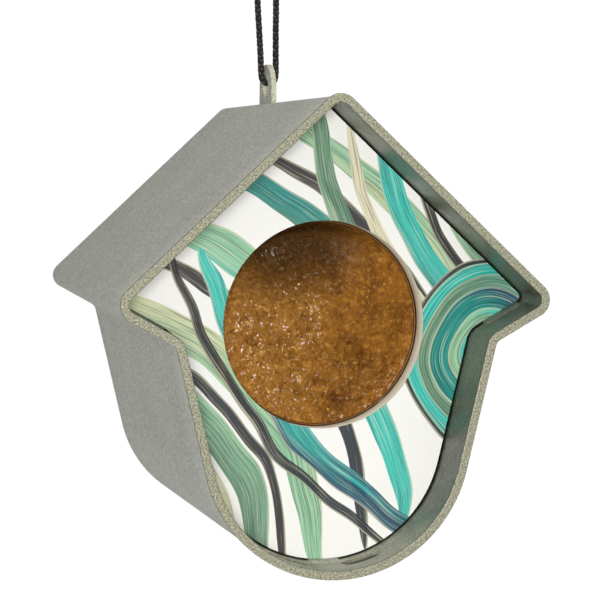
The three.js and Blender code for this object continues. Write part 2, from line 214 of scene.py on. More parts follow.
class Nodes:
    """A shader or geometry node tree, and the one way in which nodes are added to it."""

    def __init__(self, tree):
        self.tree = tree
        tree.nodes.clear()

    def add(self, kind, settings=None, inputs=None, output=0):
        """A new node's output, from its settings and the values, links or lists of links of its inputs."""
        node = self.tree.nodes.new(kind)
        for name, value in (settings or {}).items():
            if name == "stops":
                self.set_stops(node.color_ramp, value)
            else:
                setattr(node, name, value)
        for key, value in (inputs or {}).items():
            for item in value if isinstance(value, list) else [value]:
                if isinstance(item, Value):
                    self.tree.links.new(item.socket, node.inputs[key])
                else:
                    node.inputs[key].default_value = item
        return Value(self, node.outputs[output]) if node.outputs else node

    @staticmethod
    def set_stops(ramp, stops):
        while len(ramp.elements) < len(stops):
            ramp.elements.new(1.0)
        for element, (position, color) in zip(ramp.elements, stops):
            element.position = position
            element.color = color

    def other(self, value, output):
        """Another output of the node that a value comes from."""
        return Value(self, value.socket.node.outputs[output])

    def step(self, value, low, high):
        """0 below low and 1 above high, or the other way round where low is the larger."""
        settings = {"interpolation_type": "SMOOTHSTEP"}
        inputs = {"Value": value, "From Min": min(low, high), "From Max": max(low, high)}
        if low > high:
            inputs |= {"To Min": 1.0, "To Max": 0.0}
        return self.add("ShaderNodeMapRange", settings, inputs)

    def mix(self, factor, first, second, blend="MIX"):
        settings = {"data_type": "RGBA", "blend_type": blend, "clamp_factor": True}
        return self.add("ShaderNodeMix", settings, {0: factor, 6: first, 7: second}, 2)

    def vectors(self, operation, first, second):
        """Vector maths on two vectors, or on a vector and the number that scales it."""
        key = "Scale" if operation == "SCALE" else 1
        return self.add("ShaderNodeVectorMath", {"operation": operation}, {0: first, key: second})

    def parts(self, vector):
        """The x, y and z of a vector."""
        x = self.add("ShaderNodeSeparateXYZ", inputs={0: vector})
        return x, self.other(x, 1), self.other(x, 2)

    def noise(self, vector, scale, detail=2.0, roughness=0.5):
        inputs = {"Vector": vector, "Scale": scale, "Detail": detail, "Roughness": roughness}
        return self.add("ShaderNodeTexNoise", inputs=inputs)

    def cells(self, vector, scale):
        return self.add("ShaderNodeTexVoronoi", inputs={"Vector": vector, "Scale": scale})

    def attribute(self, name, output="Vector"):
        return self.add("ShaderNodeAttribute", {"attribute_name": name}, output=output)


class Finish(Nodes):
    """A material made of one principled shader."""

    def __init__(self, name, **constants):
        self.material = bpy.data.materials.new(name)
        self.material.use_nodes = True
        super().__init__(self.material.node_tree)
        inputs = {key.replace("_", " "): value for key, value in constants.items()}
        shaded = self.add("ShaderNodeBsdfPrincipled", inputs=inputs)
        self.shader = shaded.socket.node
        self.add("ShaderNodeOutputMaterial", inputs={0: shaded})

    def set(self, name, value):
        self.tree.links.new(value.socket, self.shader.inputs[name])

    def bump(self, height, distance, strength=1.0):
        inputs = {"Height": height, "Distance": distance, "Strength": strength}
        self.set("Normal", self.add("ShaderNodeBump", inputs=inputs))

    def object_point(self):
        return self.add("ShaderNodeTexCoord", output="Object")


# Finishes

def flecked_plastic(name, on_shell):
    """Matt recycled plastic: grainy outside, smooth inside with a darker base that is partly painted shade,
    coarsely flecked where it is cut; the shell also has painted shade and a painted highlight.
    """
    made = Finish(name, Specular_IOR_Level=0.4)
    point = made.attribute("house")
    cloud = made.noise(point, 0.035, 3)
    grain = made.noise(point, 0.75, 4, 0.75)
    speck = made.noise(point, 2.2, 2, 0.7)
    crumb = made.noise(point, 1.5, 2, 0.66)
    shade = 0.77 + 0.18 * cloud + 1.8 * (grain - 0.5) + 1.2 * (speck - 0.5)
    matt = 0.66 + 0.2 * (grain - 0.5)
    outside = linear(180, 181, 172)
    if on_shell:
        _, depth, height = made.parts(point)
        inset = made.attribute("inset", "Fac")
        # How deep in the wall a point lies, from 0 at the wall's inner face
        sunk = WALL + INNER_DRAFT * depth - inset
        inside = made.step(sunk, 1.3, 0.7)
        drain_half = DRAIN_WIDTH / 2
        drain = made.step((depth - DRAIN_SETBACK).maths("ABSOLUTE"), drain_half + 1.3, drain_half + 0.7)
        skin = LIP_HEIGHT + OUTER_DRAFT * depth
        drain = drain * made.step(sunk, 0.05, 0.2) * made.step(inset - skin, 0.1, 0.3)
        cut = made.step(depth, 0.3, 0.1).maths("MAXIMUM", drain)
        # Painted shade: a dark line along the lip's side and the rim's inner edge, and darker deep in the
        # drain slots
        edge_shade = made.step(depth, 0.1, 0.3) * made.step(depth, 1.5, 1.2) * (0.8 - 0.4 * inside)
        edge_shade = edge_shade.maths("MAXIMUM", drain * made.step(sunk, 0.8, 1.8))
        # Inner faces get a darker, greener base: partly a smoother plastic, partly painted shade and the
        # print's painted reflection
        base = made.mix(inside, outside, linear(110, 116, 101))
        # Painted light: the recess floor gets a paler base for the light it catches; its flecks and matt
        # finish are its own
        floor_light_and_flecks = inside * made.step(height, 24.0, 7.0)
        base = made.mix(floor_light_and_flecks, base, linear(168, 170, 153))
        shade = shade + 0.5 * inside * (made.noise(point, 0.13, 3, 0.6) - 0.5)
        # Painted reflection: the inner wall is darker low down, for the dark it reflects
        shade = shade - 0.32 * inside * made.step(height, 12.0, 28.0) * made.step(height, 78.0, 52.0)
        # Painted highlight: a paler band on the outer body just behind the rim
        shade = shade + 0.15 * (1 - inside) * made.step(depth, 27.0, 6.0)
        # Painted shade: the inner wall darkens towards the panel, and is painted dark where it runs behind
        # the panel's face as the gap's shadow
        wall = inside * made.step(sunk, -0.5, -0.15)
        wall = wall * made.step(depth, PANEL_SETBACK + 4, PANEL_SETBACK + 2)
        shade = shade - 0.2 * wall * made.step(depth, PANEL_SETBACK - 3.5, PANEL_SETBACK)
        gap_shadow = wall * made.step(depth, PANEL_SETBACK - 0.4, PANEL_SETBACK + 0.1)
        rough = matt - 0.36 * inside + 0.24 * floor_light_and_flecks
        pale, flecks, pits = linear(152, 151, 129), linear(198, 195, 171), linear(90, 88, 74)
    else:
        sideways, _, _ = made.parts(made.add("ShaderNodeTexCoord", output="Normal"))
        cut = made.step(sideways.maths("ABSOLUTE"), 0.75, 0.45)
        base = outside
        rough = matt
        pale, flecks, pits = linear(190, 188, 168), linear(212, 209, 190), linear(150, 147, 128)
    coarse = made.mix(made.step(crumb, 0.5, 0.68), pale, flecks)
    coarse = made.mix(made.step(crumb, 0.49, 0.34) * 0.85, coarse, pits)
    tint = made.add("ShaderNodeCombineColor", inputs={0: shade, 1: shade, 2: shade})
    color = made.mix(cut, made.mix(1.0, base, tint, "MULTIPLY"), coarse)
    if on_shell:
        color = made.mix(floor_light_and_flecks * 0.35, color, coarse)
        # Painted shade: a darker tone in the drain slots, the shadow in the gap behind the panel's face and
        # the dark edge lines
        color = made.mix(drain * 0.5, color, linear(104, 103, 86))
        color = made.mix(gap_shadow * 0.9, color, linear(26, 28, 21))
        color = made.mix(edge_shade, color, linear(78, 76, 64))
    made.set("Base Color", color)
    made.set("Roughness", rough)
    made.bump(grain + speck * 0.5 + cut * crumb, 0.00012, 0.6)
    return made.material


def fibre_board():
    """Pale pressed board with fine fibres and a few darker specks."""
    made = Finish("pale_fibre_board", Specular_IOR_Level=0.25)
    point = made.attribute("house")
    fibre = made.noise(made.vectors("MULTIPLY", point, (0.35, 2.2, 0.35)), 1.4, 4, 0.65)
    speck = made.noise(point, 2.4, 2, 0.6)
    color = made.mix(made.step(fibre, 0.3, 0.7), linear(250, 249, 229), linear(255, 255, 240))
    color = made.mix(made.step(speck, 0.67, 0.75) * 0.4, color, linear(196, 180, 154))
    made.set("Base Color", color)
    made.set("Roughness", 0.6 + 0.25 * fibre)
    made.bump(fibre + speck * 0.5, 0.0001, 0.5)
    return made.material


# Inks of the printed sheet
WHITE = linear(250, 250, 247)
TURQUOISE = linear(56, 201, 187)
TEAL = linear(0, 146, 138)
DEEP_TEAL = linear(20, 86, 112)
MINT = linear(146, 200, 160)
SAGE = linear(104, 148, 120)
PALE_GREEN = linear(208, 216, 172)
CREAM = linear(228, 220, 190)
CHARCOAL = linear(42, 36, 38)
SLATE = linear(33, 46, 55)

# Fans of curved ribbons, laid one over the other: the centre of each fan, the way it opens, in degrees, and
# its ribbons: radius, half width, first and last angle, first and last ink. A whole ring has no angles.
RIBBON_FANS = (
    ((-95, 5), 45, (
        (58, 5.5, -62, 60, PALE_GREEN, CREAM),
        (71, 6.0, -58, 48, SAGE, MINT),
        (80, 2.2, -52, 52, CHARCOAL, SLATE),
        (92, 6.5, -50, 55, MINT, PALE_GREEN),
        (112, 3.2, -44, 40, SLATE, CHARCOAL),
        (126, 6.0, -40, 44, TURQUOISE, MINT),
        (152, 5.2, -36, 34, SAGE, TEAL),
        (163, 2.4, -30, 30, CHARCOAL, CHARCOAL),
        (176, 4.5, -30, 24, PALE_GREEN, MINT),
    )),
    ((132, 172), -143, (
        (92, 4.4, -24, 46, MINT, SAGE),
        (101, 2.0, -28, 40, CHARCOAL, SLATE),
        (111, 5.0, -34, 42, TURQUOISE, TEAL),
        (123, 2.6, -36, 36, CREAM, PALE_GREEN),
        (134, 4.6, -40, 44, SAGE, MINT),
        (186, 5.0, -20, 30, TURQUOISE, DEEP_TEAL),
        (196, 2.0, -24, 28, CHARCOAL, SLATE),
    )),
    ((64, 78), 0, (
        (17, 17.0, None, None, MINT, TEAL),
        (6, 6.5, None, None, TURQUOISE, DEEP_TEAL),
        (14.2, 1.7, None, None, MINT, TURQUOISE),
        (19.5, 3.4, None, None, TEAL, DEEP_TEAL),
        (25.4, 2.2, None, None, SAGE, TEAL),
        (30.2, 2.4, None, None, TURQUOISE, TEAL),
        (33.6, 0.9, None, None, SLATE, CHARCOAL),
    )),
)


def ribbon_print():
    """The printed sheet: fans of streaked ribbons in greens, teals and charcoal on white."""
    made = Finish("ribbon_print", Specular_IOR_Level=0.4)
    point = made.attribute("house")
    paper = made.noise(point, 2.2, 3, 0.6)
    sway = made.noise(point, 0.03, 1)
    color = made.mix(paper, WHITE, linear(244, 244, 240))
    x, _, z = made.parts(point)
    for (centre_x, centre_z), opens, ribbons in RIBBON_FANS:
        turn = math.radians(opens)
        across, up = x - centre_x, z - centre_z
        ahead = across * math.cos(turn) + up * math.sin(turn)
        aside = up * math.cos(turn) - across * math.sin(turn)
        plain_radius = (ahead * ahead + aside * aside) ** 0.5
        radius = plain_radius + 9 * (sway - 0.5)
        angle = aside.maths("ARCTAN2", ahead) * math.degrees(1)
        along = made.add("ShaderNodeCombineXYZ", inputs={0: radius, 1: across * 0.014, 2: up * 0.014})
        streak = made.noise(along, 0.8, 3, 0.7)
        line = made.noise(along, 2.3, 3, 0.65)
        for middle, half_width, first, last, ink, last_ink in ribbons:
            off = radius - middle
            if first is None:
                run, width = 0.5 + 0.5 * ahead / plain_radius.maths("MAXIMUM", 1.0), half_width
                cover = made.step(off.maths("ABSOLUTE"), half_width + 0.16, half_width - 0.16)
            else:
                run = (angle - first) / (last - first)
                taper = (run * (1 - run) * 4).maths("MAXIMUM", 0.0) ** 0.45
                width = taper * half_width
                cover = made.step(off.maths("ABSOLUTE") - width, 0.16, -0.16) * made.step(taper, 0.05, 0.2)
            blend = run + 0.22 * off / half_width + 1.3 * (streak - 0.5)
            tone = made.mix(made.step(blend, 0.2, 0.8), ink, last_ink)
            tone = made.mix(made.step(line, 0.5, 0.4) * 0.55, tone, SLATE)
            tone = made.mix(made.step(line, 0.55, 0.66) * 0.5, tone, CREAM)
            tone = made.mix(made.step(off - width, -0.75, -0.3) * 0.45, tone, CREAM)
            color = made.mix(cover * 0.97, color, tone)
    made.set("Base Color", color)
    made.set("Roughness", 0.42 + 0.14 * paper)
    made.bump(paper, 0.00003, 0.3)
    return made.material


def clear_plastic():
    """Clear pot plastic, whose lip carries forward the brown of the food that its wall touches."""
    made = Finish("clear_plastic", IOR=1.49, Coat_Roughness=0.08)
    _, depth, _ = made.parts(made.attribute("house"))
    lip = made.step(depth, JAR_LIP_END + 2, JAR_LIP_END + 0.5)
    scuff = made.noise(made.object_point(), 900, 3, 0.6)
    made.set("Base Color", made.mix(lip, linear(236, 239, 238), linear(132, 86, 38)))
    made.set("Roughness", 0.08 + 0.16 * made.step(scuff, 0.5, 0.8) + 0.4 * lip)
    made.set("Coat Weight", 0.5 - 0.5 * lip)
    made.set("Alpha", 0.06 + 0.89 * lip)
    return made.material


def scoop_shadow_patch(made):
    """The painted shadow in the scoop: 1 in the scooped upper left of the food, falling to 0 round it."""
    (x, z), (reach_across, reach_up) = SHADOW_MIDDLE, SHADOW_REACH
    middle = HOUSE @ (Vector((x, FOOD_FACE, HOLE_HEIGHT + z)) * MM)
    across, _, up = made.parts(made.object_point())
    across = (across - middle.x) / (reach_across * MM)
    up = (up - middle.z) / (reach_up * MM)
    return made.step(across * across + up * up, 1.0, 0.0)


def peanut_butter_finish():
    """Wet chunky paste: soft browns with blobs of orange, yellow and dark skin, with painted shadow in the
    scoop, painted shade in the hollows and painted light on the left.
    """
    made = Finish("peanut_butter", Specular_IOR_Level=0.12, Coat_Roughness=0.11)
    point = made.attribute("house")
    x, depth, height = made.parts(point)
    up = height - HOLE_HEIGHT
    left = made.step(x, 12.0, -14.0)
    low = made.step(up, -8.0, -30.0)
    pressed = made.step((x * x + up * up) ** 0.5, FOOD_SIDE_RADIUS - 0.5, FOOD_SIDE_RADIUS - 0.1)
    pressed = pressed * made.step(depth, JAR_NECK_END - 1, JAR_NECK_END)
    pressed = pressed.maths("MAXIMUM", made.step(depth, JAR_MOUTH + 15, JAR_MOUTH + 18))
    # Painted shade where the face sits deep, in its hollows low down
    hollow_shade = made.step(depth, FOOD_FACE + 0.9, FOOD_FACE + 2.4) * (1 - pressed) * made.step(up, 6.0, -6.0)
    # Painted shadow over the scooped upper left
    scoop_shadow = scoop_shadow_patch(made) * (1 - pressed)
    cloud = made.noise(point, 0.11, 3, 0.6)
    mash = made.noise(point, 0.45, 4, 0.72)
    grit = made.noise(point, 1.05, 3, 0.7)
    blob = made.cells(point, 0.5)
    pick = made.add("ShaderNodeSeparateColor", inputs={0: made.other(blob, 1)})
    spot = made.step(blob - 0.34 * made.other(pick, 1), 0.14, -0.04)
    stops = [
        (0.0, linear(86, 44, 10)), (0.1, linear(122, 70, 16)), (0.35, linear(172, 98, 20)),
        (0.75, linear(196, 142, 42)), (1.0, linear(210, 170, 96)),
    ]
    hue = made.add("ShaderNodeValToRGB", {"stops": stops}, {0: pick})
    color = made.mix(made.step(cloud, 0.35, 0.65), linear(116, 71, 18), linear(148, 95, 28))
    # Painted light: the paste is paler on the left, where more light falls; the left also has more pale
    # blobs
    color = made.mix(left * 0.55, color, linear(176, 120, 43))
    color = made.mix(made.step(mash, 0.51, 0.64) * (0.5 + 0.35 * left), color, linear(198, 140, 56))
    color = made.mix(made.step(mash, 0.45, 0.33) * 0.6, color, linear(82, 46, 8))
    color = made.mix(spot * (0.35 + 0.4 * left), color, hue)
    color = made.mix(made.step(grit, 0.58, 0.7) * (0.35 + 0.35 * left), color, linear(202, 154, 80))
    color = made.mix(made.step(grit, 0.38, 0.28) * 0.3, color, linear(84, 44, 10))
    # Painted shade in the hollows, then the painted shadow over the scoop
    color = made.mix(hollow_shade * 0.5, color, linear(78, 44, 10))
    made.set("Base Color", made.mix(scoop_shadow * 0.86, color, linear(46, 26, 7)))
    made.set("Roughness", 0.5 + 0.2 * made.step(mash, 0.3, 0.7))
    dry = made.step(up, 12.0, 20.0) * (0.4 + 0.6 * made.step(x, -14.0, -4.0))
    wet = left.maths("MAXIMUM", low * 0.6) * (1 - dry) * made.step(up, 33.0, 24.0)
    glint = (0.04 + 0.8 * wet) * made.step(mash, 0.38, 0.5)
    made.set("Coat Weight", glint.maths("MAXIMUM", 0.7 * pressed))
    made.bump(mash + grit * 0.8, 0.0007, 1.0)
    return made.material


def nut_finish():
    """Chopped nut: close to the paste in colour, with a few yellow and dark bits picked at random."""
    made = Finish("chopped_nut", Specular_IOR_Level=0.2, Coat_Weight=0.06, Coat_Roughness=0.15)
    pick = made.attribute("pick", "Fac")
    grain = made.noise(made.object_point(), 1600, 3, 0.6)
    stops = [
        (0.0, linear(92, 50, 14)), (0.05, linear(146, 66, 28)), (0.12, linear(126, 78, 24)),
        (0.5, linear(152, 99, 35)), (0.86, linear(170, 114, 38)), (0.93, linear(214, 164, 42)),
        (1.0, linear(216, 172, 72)),
    ]
    color = made.add("ShaderNodeValToRGB", {"stops": stops}, {0: pick})
    color = made.mix(grain * 0.5, color, linear(132, 86, 32))
    # Painted shadow: bits in the scoop are darkened with the paste
    made.set("Base Color", made.mix(scoop_shadow_patch(made) * 0.85, color, linear(46, 27, 10)))
    made.set("Roughness", 0.3 + 0.3 * grain)
    made.bump(grain, 0.0001, 0.6)
    return made.material


def black_braid():
    """Black yarn, with brown-grey flecks painted as a highlight where a strand lies uppermost."""
    made = Finish("black_braid", Specular_IOR_Level=0.3)
    point = made.object_point()
    fibre = made.noise(point, 2600, 2, 0.6)
    patch = made.noise(point, 500, 2)
    # Painted highlight on the crests of the strands
    crest_highlight = made.step(made.attribute("crest", "Fac"), 0.72, 1.0) * made.step(fibre + 0.8 * patch, 0.6, 1.1)
    color = made.mix(patch, linear(9, 8, 8), linear(20, 18, 17))
    made.set("Base Color", made.mix(crest_highlight, color, linear(86, 80, 75)))
    made.set("Roughness", 0.45 + 0.3 * fibre)
    made.bump(fibre, 0.00006, 0.5)
    return made.material


# Meshes

def mesh_points(mesh):
    """The points of a mesh, as one row of numbers."""
    points = np.empty(len(mesh.vertices) * 3, dtype=np.float32)
    mesh.vertices.foreach_get("co", points)
    return points


def in_place(mesh):
    """Keeps a mesh's house coordinates for its material, then sets it where the house hangs."""
    held = mesh.attributes.new("house", "FLOAT_VECTOR", "POINT")
    held.data.foreach_set("vector", mesh_points(mesh))
    mesh.transform(HOUSE @ Matrix.Scale(MM, 4))
    mesh.update()


def smooth_by_angle(mesh, degrees):
    """Smooth shading, with edges sharper than an angle left hard."""
    work = bmesh.new()
    work.from_mesh(mesh)
    for face in work.faces:
        face.smooth = True
    for edge in work.edges:
        edge.smooth = len(edge.link_faces) == 2 and edge.calc_face_angle(0) < math.radians(degrees)
    work.to_mesh(mesh)
    work.free()


def new_object(name, mesh):
    made = bpy.data.objects.new(name, mesh)
    bpy.context.collection.objects.link(made)
    return made


def placed(name, mesh, hard_angle):
    """An object of a mesh that was drawn in the house's own frame, shaded smooth up to an angle."""
    smooth_by_angle(mesh, hard_angle)
    in_place(mesh)
    return new_object(name, mesh)


def closed_mesh(name, points, faces):
    """A mesh of points and faces, merged and facing outwards."""
    mesh = bpy.data.meshes.new(name)
    mesh.from_pydata([tuple(point) for point in points], [], faces)
    work = bmesh.new()
    work.from_mesh(mesh)
    bmesh.ops.remove_doubles(work, verts=work.verts, dist=1e-4)
    bmesh.ops.recalc_face_normals(work, faces=work.faces)
    work.to_mesh(mesh)
    work.free()
    return mesh


def evaluated(made, name):
    """The mesh that an object's modifiers give, as a plain mesh."""
    graph = bpy.context.evaluated_depsgraph_get()
    graph.update()
    mesh = bpy.data.meshes.new_from_object(made.evaluated_get(graph))
    mesh.name = name
    return mesh


def dress(made, material, body, slot, *nodes):
    """Gives a piece its material and body, and hides the parts of the nodes that it stands for. The slot is
    not used.
    """
    made.data.materials.clear()
    made.data.materials.append(material)
    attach(made, body)
    if nodes:
        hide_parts(*nodes)
    return made


# House shell

def corner_arc(before, corner, after, radius, steps):
    """Points of the arc that rounds one corner of an outline."""
    to_before, to_after = (before - corner).normalized(), (after - corner).normalized()
    half = to_before.angle(to_after) / 2
    centre = corner + (to_before + to_after).normalized() * (radius / math.sin(half))
    start = corner + to_before * (radius / math.tan(half)) - centre
    end = corner + to_after * (radius / math.tan(half)) - centre
    first = math.atan2(start.y, start.x)
    turn = (math.atan2(end.y, end.x) - first + math.pi) % (2 * math.pi) - math.pi
    angles = [first + turn * step / steps for step in range(steps + 1)]
    return [centre + radius * Vector((math.cos(a), math.sin(a))) for a in angles]


KEEL = BOTTOM_RADIUS - BOTTOM_RADIUS / math.sin(WALL_LEAN)
# Corner, its radius at the rim and on the body, whether it is hollow, and steps round it and to the next
OUTLINE = (
    (Vector((0, APEX_HEIGHT)), APEX_RADIUS, BODY_CORNER_RADIUS, False, 14, 40),
    (Vector((-EAVE.x, EAVE.y)), EAVE_RADIUS, BODY_CORNER_RADIUS, False, 14, 36),
    (Vector((-SHOULDER.x, SHOULDER.y)), SHOULDER_RADIUS, BODY_SHOULDER_RADIUS, True, 10, 20),
    (Vector((0, KEEL)), BOTTOM_RADIUS, None, False, 180, 20),
    (Vector((SHOULDER.x, SHOULDER.y)), SHOULDER_RADIUS, BODY_SHOULDER_RADIUS, True, 10, 36),
    (Vector((EAVE.x, EAVE.y)), EAVE_RADIUS, BODY_CORNER_RADIUS, False, 14, 40),
)


def house_outline(inset, on_body=False):
    """The house outline moved inwards by an inset, as rows of x and z with as many rows for every inset.

    Corners keep the body's own radii behind the lip, and follow the inset everywhere else.
    """
    count = len(OUTLINE)
    inward = []
    for index, (corner, *_) in enumerate(OUTLINE):
        along = (OUTLINE[(index + 1) % count][0] - corner).normalized()
        inward.append(Vector((-along.y, along.x)))
    moved = []
    for index, (corner, *_) in enumerate(OUTLINE):
        before, after = inward[index - 1], inward[index]
        moved.append(corner + (before + after) * (inset / (1 + before.dot(after))))
    arcs = []
    for index, (_, radius, body_radius, hollow, steps, _) in enumerate(OUTLINE):
        corner_radius = radius + inset if hollow else max(radius - inset, LEAST_RADIUS)
        if on_body and body_radius:
            corner_radius = body_radius
        around = moved[index - 1], moved[index], moved[(index + 1) % count]
        arcs.append(corner_arc(*around, corner_radius, steps))
    points = []
    for index, (*_, edge_steps) in enumerate(OUTLINE):
        points += arcs[index]
        start, end = arcs[index][-1], arcs[(index + 1) % count][0]
        points += [start.lerp(end, step / edge_steps) for step in range(1, edge_steps)]
    return np.array([(point.x, point.y) for point in points])


def ease(value, low, high):
    """0 below low and 1 above high, with a smooth rise between."""
    t = np.clip((value - low) / (high - low), 0, 1)
    return t * t * (3 - 2 * t)


def catch_rise(outline, y):
    """How far the panel catches stand up from the inner wall: at the bottom and on each eave floor."""
    x, z = np.abs(outline[:, 0]), outline[:, 1]

    def past(end):
        return ease(x, end - CATCH_FLANK, end + CATCH_FLANK)

    first, last = EAVE_CATCH_ENDS
    bottom = (1 - past(BOTTOM_CATCH_END)) * (z < BOTTOM_RADIUS)
    eaves = past(first) * (1 - past(last)) * (z < EAVE.y + 4.5)
    return CATCH_HEIGHT * (bottom + eaves) * ease(y, *CATCH_RAMP) * (1 - ease(y, *CATCH_FACE))


def shell_rings():
    """Rings of points from the outer back, forward over the rim and back along the inner wall."""
    def ring(outline, y):
        return np.column_stack([outline[:, 0], np.full(len(outline), y), outline[:, 1]])

    rings = []
    quarter = [math.radians(angle) for angle in range(0, 91, 18)]
    for angle in quarter:
        y = SHELL_DEPTH - BACK_ROUND * (1 - math.cos(angle))
        inset = LIP_HEIGHT + OUTER_DRAFT * y + BACK_ROUND * (1 - math.sin(angle))
        rings.append(ring(house_outline(inset, True), y))
    for y in (140, 115, 90, 65, 45, 30, 20, 12, 7, 4, LIP_END + 0.3):
        rings.append(ring(house_outline(LIP_HEIGHT + OUTER_DRAFT * y, True), y))
    foot, crest = house_outline(LIP_HEIGHT + OUTER_DRAFT * LIP_END, True), house_outline(0)
    for share in (0.08, 0.2, 0.5, 0.8, 0.92):
        y = LIP_END + (LIP_LENGTH - LIP_END) * share
        rings.append(ring(foot + (crest - foot) * ease(share, 0, 1), y))
    rings.append(ring(crest, LIP_LENGTH))
    for angle in quarter:
        inset = RIM_OUTER_ROUND * (1 - math.cos(angle))
        rings.append(ring(house_outline(inset), RIM_OUTER_ROUND * (1 - math.sin(angle))))
    for inset in (1.1, 1.6, 2.2):
        rings.append(ring(house_outline(inset), 0.0))
    for angle in quarter:
        inset = WALL - RIM_INNER_ROUND * (1 - math.sin(angle))
        rings.append(ring(house_outline(inset), RIM_INNER_ROUND * (1 - math.cos(angle))))
    ramp = np.arange(CATCH_RAMP[0] - 0.4, CATCH_RAMP[1] + 0.61, 0.2)
    face = np.arange(CATCH_FACE[0] - 0.05, CATCH_FACE[1] + 0.11, 0.05)
    depths = [2, 5, 8, 11, 13, *ramp, 17, 18, 18.7, *face, 20, 22, 26, 32, 45, 60, 80, 100, 120, 140, 152]
    for y in map(float, depths):
        inset = WALL + INNER_DRAFT * y
        outline = house_outline(inset)
        inwards = house_outline(inset + 1) - outline
        rings.append(ring(outline + inwards * catch_rise(outline, y)[:, None], y))
    inner_back = SHELL_DEPTH - BACK_WALL
    for angle in quarter:
        y = inner_back - BACK_ROUND * (1 - math.sin(angle))
        inset = WALL + INNER_DRAFT * y + BACK_ROUND * (1 - math.cos(angle))
        rings.append(ring(house_outline(inset), y))
    return rings


def quads(rows, count):
    """Faces between rows of as many points, each row closed on itself."""
    faces = []
    for start in range(0, (rows - 1) * count, count):
        for index in range(count):
            here, follow = start + index, start + (index + 1) % count
            faces.append([here, follow, follow + count, here + count])
    return faces


def lofted(rings):
    """Points and faces of a body through rings of as many points, capped at the first and the last."""
    count = len(rings[0])
    points = [tuple(point) for ring in rings for point in ring]
    last = len(points) - count
    return points, [list(range(count)), list(range(last, len(points))), *quads(len(rings), count)]


def rectangle(middle, half_width, front, back):
    """Corners of a rectangle seen from above, in order round it."""
    left, right = middle - half_width, middle + half_width
    return (left, front), (right, front), (right, back), (left, back)


def roof_underside(x, y, below):
    """Height of a face that lies below the roof's inner face by the distance given."""
    return APEX_HEIGHT - ROOF_SLOPE * abs(x) - (WALL + INNER_DRAFT * y + below) * ROOF_STRETCH


def joined(name, parts):
    """One mesh of several bodies, each given as its points and faces."""
    points, faces = [], []
    for part_points, part_faces in parts:
        start = len(points)
        points += part_points
        faces += [[start + index for index in face] for face in part_faces]
    return closed_mesh(name, points, faces)


def rib(middle, front, back, feet, top):
    """A rib along y: the heights of its foot in front and at the back, and top(x, y) above them."""
    plan = rectangle(middle, RIB_THICKNESS / 2, front, back)
    foot = [(x, y, feet[0] if y == front else feet[1]) for x, y in plan]
    return lofted([foot, [(x, y, top(x, y)) for x, y in plan]])


def shell_ribs():
    """Two ribs that cradle the pot and two short ones under the roof that stop the panel."""
    def cradle(x, y):
        return HOLE_HEIGHT - math.sqrt((JAR_RADIUS + SEAT_GAP) ** 2 - x ** 2)

    def stop_root(x, y):
        return roof_underside(x, y, -RIB_ROOT)

    parts = []
    front = JAR_MOUTH
    for side in (-1, 1):
        middle = side * CRADLE_RIB_SPACING / 2
        parts.append(rib(middle, front, SHELL_DEPTH - 2, CRADLE_RIB_FEET, cradle))
        middle = side * STOP_RIB_SPACING / 2
        foot = roof_underside(middle, front, 0) - STOP_RIB_HEIGHT
        parts.append(rib(middle, front, front + STOP_RIB_LENGTH, (foot, foot), stop_root))
    return joined("shell_ribs", parts)


def shell_cuts():
    """The drain slots in the floor of the recess, and the slot in the ridge for the hanger eye."""
    half_straight, half_width = (DRAIN_LENGTH - DRAIN_WIDTH) / 2, DRAIN_WIDTH / 2
    steps = 12
    section = []
    for end in (1, -1):
        for step in range(steps + 1):
            angle = -math.pi / 2 + math.pi * step / steps
            along = end * (half_straight + half_width * math.cos(angle))
            section.append((along, DRAIN_SETBACK + end * half_width * math.sin(angle)))
    parts = []
    for side in (-1, 1):
        turn = side * math.asin(DRAIN_SPACING / 2 / BOTTOM_RADIUS)
        rings = []
        for reach in (BOTTOM_RADIUS - WALL - 3, BOTTOM_RADIUS + 2):
            rings.append([(
                along * math.cos(turn) + reach * math.sin(turn),
                y,
                BOTTOM_RADIUS + along * math.sin(turn) - reach * math.cos(turn),
            ) for along, y in section])
        parts.append(lofted(rings))
    half_width, half_length = EYE_HALF_THICKNESS + EYE_SLOT_GAP, EYE_HALF_WIDTH + EYE_SLOT_GAP
    slot = rectangle(0, half_width, EYE_SETBACK - half_length, EYE_SETBACK + half_length)
    parts.append(lofted([[(x, y, z) for x, y in slot] for z in EYE_SLOT_ENDS]))
    return joined("shell_cuts", parts)


def keep_inset(mesh):
    """Keeps how far each point lies inside the rim's outline, by which the plastic tells faces apart."""
    flat = mesh_points(mesh).reshape(-1, 3)[:, (0, 2)]
    outline = house_outline(0)
    nearest = np.full(len(flat), np.inf)
    for start, end in zip(outline, np.roll(outline, -1, axis=0)):
        along = end - start
        share = np.clip((flat - start) @ along / (along @ along), 0, 1)
        nearest = np.minimum(nearest, np.linalg.norm(flat - start - share[:, None] * along, axis=1))
    held = mesh.attributes.new("inset", "FLOAT", "POINT")
    held.data.foreach_set("value", nearest.astype(np.float32))


def house_shell():
    """The moulding: its form through the rings, with the ribs joined on and the slots cut out."""
    body = new_object("house_shell_form", closed_mesh("house_shell_form", *lofted(shell_rings())))
    tools = []
    for operation, mesh in (("UNION", shell_ribs()), ("DIFFERENCE", shell_cuts())):
        tool = new_object(mesh.name, mesh)
        tools.append(tool)
        cut = body.modifiers.new(operation, "BOOLEAN")
        cut.operation = operation
        cut.solver = "EXACT"
        cut.object = tool
    mesh = evaluated(body, "house_shell")
    for spare in (body, *tools):
        bpy.data.objects.remove(spare)
    keep_inset(mesh)
    return placed("house_shell_dressed", mesh, 32)


# Hanger eye and panel

